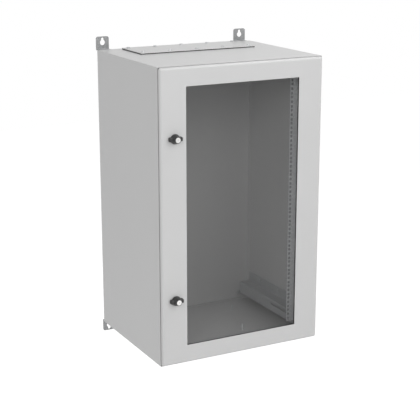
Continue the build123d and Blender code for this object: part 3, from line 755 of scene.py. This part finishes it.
def makeStudTree():
    w, wires = newTree("threadedStud", ["Radius", "Length", "Pitch"], common)
    return spread(w, wires, threaded(w, wires["Radius"], wires["Length"], wires["Pitch"], thread["studRows"]))


studShare = 0.92  # how far a stud reaches up its nut


def makeStudNutTree():
    # a nut run down on a welded stud; height 0 is the nut's seat
    w, wires = newTree("studNut", ["Flats", "Height", "Radius", "Seat", "Pitch"], common)
    flats, height, radius, seat = wires["Flats"], wires["Height"], wires["Radius"], wires["Seat"]
    shaft = threaded(w, radius, seat + height * studShare, wires["Pitch"], thread["shortRows"])
    below = w.vector(0.0, 0.0, 0.0 - seat)
    stud = w.node(
        "GeometryNodeTransform", {}, {"Geometry": shaft, "Translation": below, "Rotation": (math.pi, 0, 0)}
    )
    return spread(w, wires, joined(w, lathed(w, nutRows(flats, height, radius), flats), stud))


# Countersunk screw: shares of the head's depth and of its radius
countersink = {"tip": 0.62, "socket": 0.55, "land": 0.06, "face": 0.95}


def makeCountersunkTree():
    # height 0 is the flush face; Flats is the socket's width
    w, wires = newTree("countersunk", ["Flats", "Head", "Deep", "Radius", "Length", "Pitch"], common)
    flats, head, deep, radius = wires["Flats"], wires["Head"], wires["Deep"], wires["Radius"]
    rows = [
        circle(0.0, 0.0 - deep * countersink["tip"]),
        hexagon(0.0 - deep * countersink["socket"]),
        hexagon(0.0),
        circle(head * countersink["face"], 0.0),
        circle(head, 0.0 - deep * countersink["land"]),
        circle(radius, 0.0 - deep),
        circle(0.0, 0.0 - deep),
    ]
    shank = threaded(w, radius, wires["Length"], wires["Pitch"], thread["shortRows"])
    return spread(w, wires, joined(w, lathed(w, rows, flats), shank))


# Fasteners, their sizes in millimetres

trees = {
    "screw": makeScrewTree(),
    "nut": makeNutTree(),
    "stud": makeStudTree(),
    "studNut": makeStudNutTree(),
    "countersunk": makeCountersunkTree(),
}
entryScrew = {"Flats": 10.0, "Head": 4.0, "Radius": 3.0, "Length": 11.5, "Pitch": 1.0, "Turn": 3.1, "Seed": 8}
bracketBolt = {"Flats": 13.0, "Head": 5.3, "Radius": 4.0, "Length": 11.0, "Pitch": 1.25, "Turn": 3.1, "Seed": 3}
bracketNut = {"Flats": 13.0, "Height": 6.5, "Radius": 4.0, "Turn": 0.2, "Seed": 5}
railScrew = {"Flats": 10.0, "Head": 4.0, "Radius": 3.0, "Length": 9.0, "Pitch": 1.0, "Turn": 3.1, "Seed": 11}
smallNut = {"Flats": 10.0, "Height": 5.0, "Radius": 3.0, "Turn": 0.25, "Seed": 14}
profileStud = {"Radius": 3.0, "Length": 10.0, "Pitch": 1.0, "Turn": 0.0, "Seed": 1}
earthStud = {"Radius": 4.0, "Length": 25.0, "Pitch": 1.25, "Turn": 0.0, "Seed": 1}
retainerNut = {
    "Flats": 7.0, "Height": 3.2, "Radius": 2.0, "Seat": 1.5, "Pitch": 0.7, "Turn": 0.3, "Seed": 17,
}
hingeScrew = {
    "Flats": 2.5, "Head": 3.8, "Deep": 2.5, "Radius": 2.0, "Length": 5.5, "Pitch": 0.7, "Turn": 3.1, "Seed": 21,
}
ways = {
    "up": (0, 0, 1),
    "down": (0, 0, -1),
    "back": (0, 1, 0),
    "front": (0, -1, 0),
    "inward": (-1, 0, 0),
    "outward": (1, 0, 0),
}
fastenerSmooth = math.radians(30)


def facingAt(way, middle):
    # inward and outward go by the side that the fastener is on
    x, y, z = ways[way]
    return Vector((x * math.copysign(1, middle.x) if x else 0, y, z))


def solidBoxes(nodeName):
    # the box of each separate solid in a node, in a fixed order
    form = weldedForm(nodeName)
    left = set(form.verts)
    boxes = []
    while left:
        edge = [left.pop()]
        found = list(edge)
        while edge:
            point = edge.pop()
            for link in point.link_edges:
                other = link.other_vert(point)
                if other in left:
                    left.discard(other)
                    edge.append(other)
                    found.append(other)
        low = Vector([min(point.co[i] for point in found) for i in range(3)])
        high = Vector([max(point.co[i] for point in found) for i in range(3)])
        boxes.append((low, high))
    form.free()
    boxes.sort(key=lambda box: tuple(round(value, 5) for value in box[0]))
    return boxes


def fasten(nodeName, pieceName, kind, sizes, way):
    # sets a fastener at each solid of a node; its seat stands above the solid's low end by its shank
    rise = sizes.get("Seat", sizes.get("Length", 0.0)) * mm
    spots = []
    for low, high in solidBoxes(nodeName):
        middle = (low + high) / 2
        facing = facingAt(way, middle)
        reach = sum(abs(facing[i]) * (high[i] - low[i]) for i in range(3)) / 2
        spots.append((middle + facing * (rise - reach), facing))
    values = {name: value if name in common else value * mm for name, value in sizes.items()}
    values["Finish"] = finishOf(nodeName)
    mesh = grown(trees[kind], pointsMesh(pieceName + "Spots", spots), values)
    smoothByAngle(mesh, fastenerSmooth)
    settle(pieceName, mesh, nodeName)
    print(pieceName, len(spots), "places", len(mesh.polygons), "faces")


fasten("entry_screws", "entryScrews", "screw", entryScrew, "up")
fasten("entry_nuts", "entryNuts", "nut", smallNut, "down")
fasten("wall_bracket_bolts", "bracketBolts", "screw", bracketBolt, "back")
fasten("wall_bracket_nuts", "bracketNuts", "nut", bracketNut, "front")
fasten("rail_screws", "railScrews", "screw", railScrew, "inward")
fasten("rail_nuts", "railNuts", "nut", smallNut, "outward")
fasten("depth_profile_studs", "profileStuds", "stud", profileStud, "outward")
fasten("depth_profile_nuts", "profileNuts", "nut", smallNut, "inward")
fasten("earth_studs", "earthStuds", "stud", earthStud, "down")
fasten("retainer_nuts", "retainerNuts", "studNut", retainerNut, "back")
fasten("hinge_screws", "hingeScrews", "countersunk", hingeScrew, "front")


# Seal and gasket, their sizes in millimetres; round shapes the section and foot 1 keeps its underside flat

seal = {"corner": 10.5, "width": 10.5, "height": 6.2, "round": 0.62, "foot": 1.0}
gasket = {"corner": 2.0, "width": 12.0, "height": 6.0, "round": 0.22, "foot": 0.0}
bead = {"cornerPoints": 8, "sectionPoints": 40, "smooth": math.radians(50)}


def makeLoopTree():
    # a bead laid round a rectangle in the door's plane
    w, wires = newTree(
        "loopBead",
        ["Wide", "Tall", "Corner", "Bead Width", "Bead Height", "Round", "Foot"],
        {"Middle": "Vector", "Finish": "Material"},
    )
    outline = w.node(
        "GeometryNodeCurvePrimitiveQuadrilateral", {"mode": "RECTANGLE"},
        {"Width": wires["Wide"] - wires["Bead Width"], "Height": wires["Tall"] - wires["Bead Width"]},
    )
    path = w.node(
        "GeometryNodeFilletCurve", {"mode": "POLY"},
        {"Curve": outline, "Count": bead["cornerPoints"], "Radius": wires["Corner"]},
    )
    path = w.node("GeometryNodeSetCurveNormal", {"mode": "Z_UP"}, {"Curve": path})
    circleCurve = w.node(
        "GeometryNodeCurvePrimitiveCircle", {"mode": "RADIUS"},
        {"Resolution": bead["sectionPoints"], "Radius": 1.0},
    )
    place = w.node("GeometryNodeInputPosition")
    x, y, z = [w.along(axis, place) for axis in "XYZ"]
    across = x.maths("SIGN") * x.maths("ABSOLUTE") ** wires["Round"]
    lift = y.maths("ABSOLUTE") ** wires["Round"]
    crowned = lift * y.maths("GREATER_THAN", 0.0)
    full = (y.maths("SIGN") * lift + 1) * 0.5
    height = wires["Foot"] * crowned + (1 - wires["Foot"]) * full
    spot = w.vector(across * wires["Bead Width"] * 0.5, height * wires["Bead Height"], 0.0)
    section = w.node("GeometryNodeSetPosition", {}, {"Geometry": circleCurve, "Position": spot})
    swept = w.node("GeometryNodeCurveToMesh", {}, {"Curve": path, "Profile Curve": section})
    stood = w.vector(x, 0.0 - z, y)
    moved = w.node("ShaderNodeVectorMath", {"operation": "ADD"}, {0: stood, 1: wires["Middle"]})
    laid = w.node("GeometryNodeSetPosition", {}, {"Geometry": swept, "Position": moved})
    return finishTree(w, laid, wires["Finish"])


loopTree = makeLoopTree()


def layBead(nodeName, sizes):
    low, high = [Vector(corner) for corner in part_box(nodeName)]
    pieceName = pieceNameOf(nodeName)
    values = {
        "Wide": high.x - low.x,
        "Tall": high.z - low.z,
        "Corner": sizes["corner"] * mm,
        "Bead Width": sizes["width"] * mm,
        "Bead Height": sizes["height"] * mm,
        "Round": sizes["round"],
        "Foot": sizes["foot"],
        "Middle": ((low.x + high.x) / 2, low.y, (low.z + high.z) / 2),
        "Finish": finishOf(nodeName),
    }
    mesh = grown(loopTree, pointsMesh(pieceName + "Start", [(low, low)]), values)
    smoothByAngle(mesh, bead["smooth"])
    settle(pieceName, mesh, nodeName)
    print(pieceName, "laid,", len(mesh.polygons), "faces")


layBead("door_seal", seal)
layBead("window_gasket", gasket)


# Studio

studio = {
    "floorDrop": 0.6, "floorSize": 14.0, "floorGlow": 0.58, "floorSeen": 0.98, "clouds": 2.0,
    "dark": (0.74, 0.0), "light": (0.78, 0.0), "worldLight": 0.42,
}
lamps = {
    "keyLamp": {"heading": (0.24, -0.84, 0.44), "distance": 4.5, "size": 2.2, "power": 58.0},
    "sideLamp": {"heading": (-0.80, 0.42, 0.20), "distance": 4.0, "size": 1.2, "power": 8.0},
    "fillLamp": {"heading": (-0.55, -0.75, 0.36), "distance": 4.5, "size": 1.6, "power": 46.0},
    "topLamp": {"heading": (0.45, -0.26, 0.85), "distance": 2.6, "size": 0.6, "power": 13.0},
}
cameraSpot = {
    "place": (-1.79512, -3.67592, 0.98919), "yaw": 27.889, "pitch": 15.121, "lens": 98.37, "sensor": 36.0,
}
objectMiddle = (cadBox[0] + cadBox[1]) / 2
white = (1, 1, 1, 1)


def seenDirectly(w):
    # 1 where the camera looks at it, also in a reflection or through a clear pane
    rays = ("Is Camera Ray", "Is Glossy Ray", "Is Transmission Ray")
    camera, mirrored, through = [w.node("ShaderNodeLightPath", output=ray) for ray in rays]
    return camera.maths("MAXIMUM", mirrored).maths("MAXIMUM", through)


def makeFloor():
    material, w, place = newFinish("paleFloor")
    worked = toneOf(w, studio, w.noise(place, studio["clouds"], detail=2.0))
    tone = w.blend(seenDirectly(w), worked, grey(studio["floorSeen"]))
    lit = w.node("ShaderNodeBsdfDiffuse", {}, {"Color": tone})
    strength = seenDirectly(w) * studio["floorGlow"]
    glow = w.node("ShaderNodeEmission", {}, {"Color": white, "Strength": strength})
    shader = w.node("ShaderNodeAddShader", {}, {0: lit, 1: glow})
    w.node("ShaderNodeOutputMaterial", {}, {"Surface": shader})
    reach = studio["floorSize"] / 2
    middle = Vector((objectMiddle.x, objectMiddle.y, cadBox[0].z - studio["floorDrop"]))
    square = (-reach, -reach), (reach, -reach), (reach, reach), (-reach, reach)
    mesh = bpy.data.meshes.new("floor")
    mesh.from_pydata([middle + Vector((x, y, 0)) for x, y in square], [], [(0, 1, 2, 3)])
    mesh.materials.append(material)
    floor = bpy.data.objects.new("floor", mesh)
    bpy.context.scene.collection.objects.link(floor)


def makeWorld():
    world = bpy.data.worlds.new("paleRoom")
    world.use_nodes = True
    world.node_tree.nodes.clear()
    bpy.context.scene.world = world
    w = TreeWriter(world.node_tree)
    strength = seenDirectly(w) * (1 - studio["worldLight"]) + studio["worldLight"]
    light = w.node("ShaderNodeBackground", {}, {"Color": white, "Strength": strength})
    w.node("ShaderNodeOutputWorld", {}, {"Surface": light})


def makeLamp(name, spot):
    heading = Vector(spot["heading"])
    light = bpy.data.lights.new(name, "AREA")
    light.shape = "SQUARE"
    light.size = spot["size"]
    light.energy = spot["power"]
    lamp = bpy.data.objects.new(name, light)
    lamp.location = objectMiddle + heading.normalized() * spot["distance"]
    lamp.rotation_euler = (-heading).to_track_quat("-Z", "Y").to_euler()
    bpy.context.scene.collection.objects.link(lamp)


def makeCamera():
    yaw = math.radians(cameraSpot["yaw"])
    pitch = math.radians(cameraSpot["pitch"])
    heading = Vector((math.sin(yaw) * math.cos(pitch), math.cos(yaw) * math.cos(pitch), -math.sin(pitch)))
    data = bpy.data.cameras.new("camera")
    data.lens = cameraSpot["lens"]
    data.sensor_width = cameraSpot["sensor"]
    camera = bpy.data.objects.new("camera", data)
    camera.location = cameraSpot["place"]
    camera.rotation_euler = heading.to_track_quat("-Z", "Y").to_euler()
    bpy.context.scene.collection.objects.link(camera)
    bpy.context.scene.camera = camera


makeFloor()
makeWorld()
for name, spot in lamps.items():
    makeLamp(name, spot)
makeCamera()
bpy.context.scene.view_settings.view_transform = "Standard"
print("studio set up")
